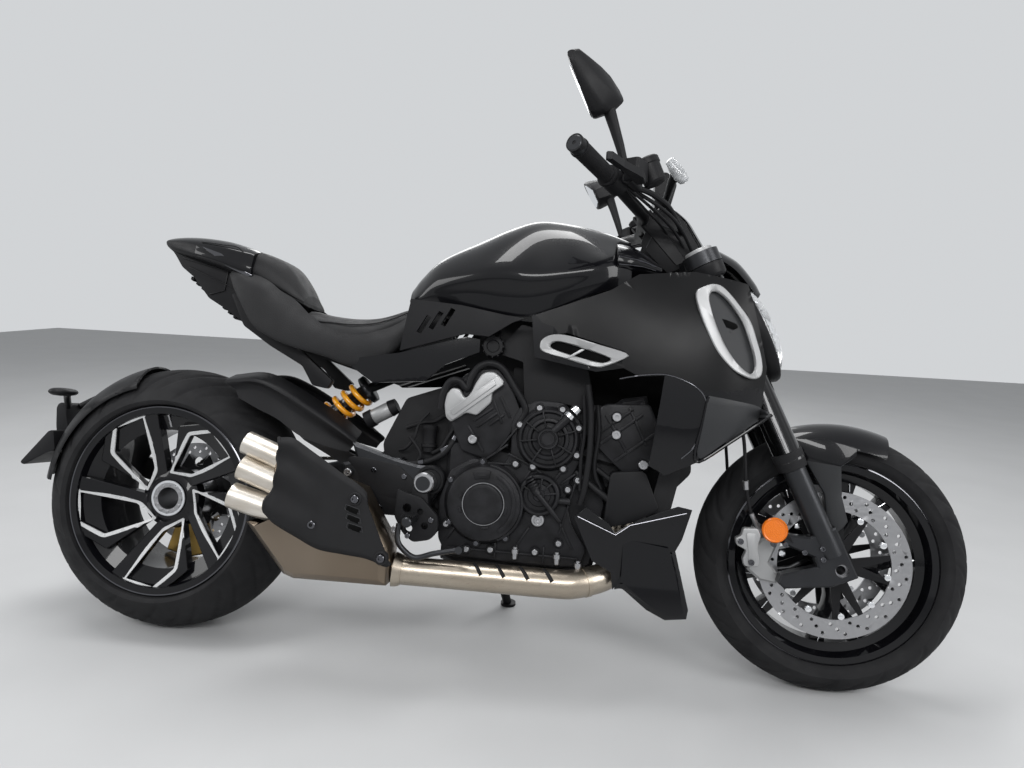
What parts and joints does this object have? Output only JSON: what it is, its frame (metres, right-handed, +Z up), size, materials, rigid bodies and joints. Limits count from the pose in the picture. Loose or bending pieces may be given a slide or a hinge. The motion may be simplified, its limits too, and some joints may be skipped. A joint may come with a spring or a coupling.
{
  "type": "power cruiser motorcycle",
  "caption": "Low, long power cruiser with a wide rear tyre, single-sided swingarm, V engine and side stand, leaning as parked.",
  "frame": {"origin": "on the floor under the middle of the parked machine's outline", "axes": "+X forward, +Y to the machine's left, +Z up; the machine leans towards +Y onto its side stand"},
  "size_m": [2.3475, 0.8752, 1.3772],
  "materials": {
    "gloss_black": "gloss black lacquer",
    "satin_black": "satin black plastic",
    "graphite": "dark graphite cast aluminium",
    "steel": "brushed steel, slightly golden",
    "rubber_tyre": "matte black tyre",
    "rubber": "black rubber",
    "seat_cover": "matte black grained cover",
    "silver": "satin silver aluminium",
    "spring_yellow": "yellow-orange powder coat",
    "chrome_dark": "dark hard chrome",
    "lens": "clear lamp lens",
    "gloss_trim": "gloss black plastic"
  },
  "bodies": {
    "chassis": {"air_louvres": "silver", "belly_pan": "satin_black", "drive_chain": "steel", "engine_block": "graphite", "engine_covers": "graphite", "exhaust_header": "steel", "foot_controls": "graphite", "frame": "satin_black", "fuel_tank": "gloss_trim", "hugger": "satin_black", "intake_frames": "silver", "muffler": "steel", "muffler_shield": "satin_black", "pillion_cover": "satin_black", "radiator": "satin_black", "radiator_shrouds": "gloss_trim", "rear_caliper": "graphite", "rear_fender": "satin_black", "rider_seat": "seat_cover", "shock_absorber": "silver", "shock_spring": "spring_yellow", "side_covers": "satin_black", "side_panels": "gloss_trim", "swingarm": "graphite", "tail_cowl": "gloss_trim"},
    "rear_wheel_body": {"rear_wheel": "gloss_black", "rear_tyre": "rubber_tyre", "rear_disc": "steel", "rear_hub": "silver"},
    "steering_body": {"yokes": "graphite", "fork_tubes": "gloss_black", "fork_legs": "chrome_dark", "front_axle": "steel", "front_fender": "gloss_trim", "front_calipers": "silver", "headlight": "lens", "fly_screen": "gloss_trim", "dashboard": "satin_black", "handlebar": "gloss_black", "hand_controls": "rubber", "mirrors": "gloss_trim"},
    "front_wheel_body": {"front_wheel": "gloss_black", "front_tyre": "rubber_tyre", "front_discs": "steel"},
    "stand_body": {"side_stand": "gloss_black"}
  },
  "joints": [
    {"name": "rear_wheel_spin", "type": "hinge", "parent": "chassis", "child": "rear_wheel_body", "pos_m": [-0.71882, -0.15684, 0.3204], "axis": [0, 0.9816, -0.1908], "continuous": true},
    {"name": "steering", "type": "hinge", "parent": "chassis", "child": "steering_body", "pos_m": [0.56535, -0.05402, 0.84934], "axis": [-0.4384, 0.1715, 0.8823], "range_deg": [-26.7, 33.3]},
    {"name": "front_wheel_spin", "type": "hinge", "parent": "steering_body", "child": "front_wheel_body", "pos_m": [0.87414, -0.16324, 0.29671], "axis": [0.0517, 0.9848, -0.1657], "continuous": true},
    {"name": "side_stand_fold", "type": "hinge", "parent": "chassis", "child": "stand_body", "pos_m": [0.05118, 0.00017, 0.22672], "axis": [0.1542, 0.9459, 0.2854], "range_deg": [0, 110.15]}
  ]
}
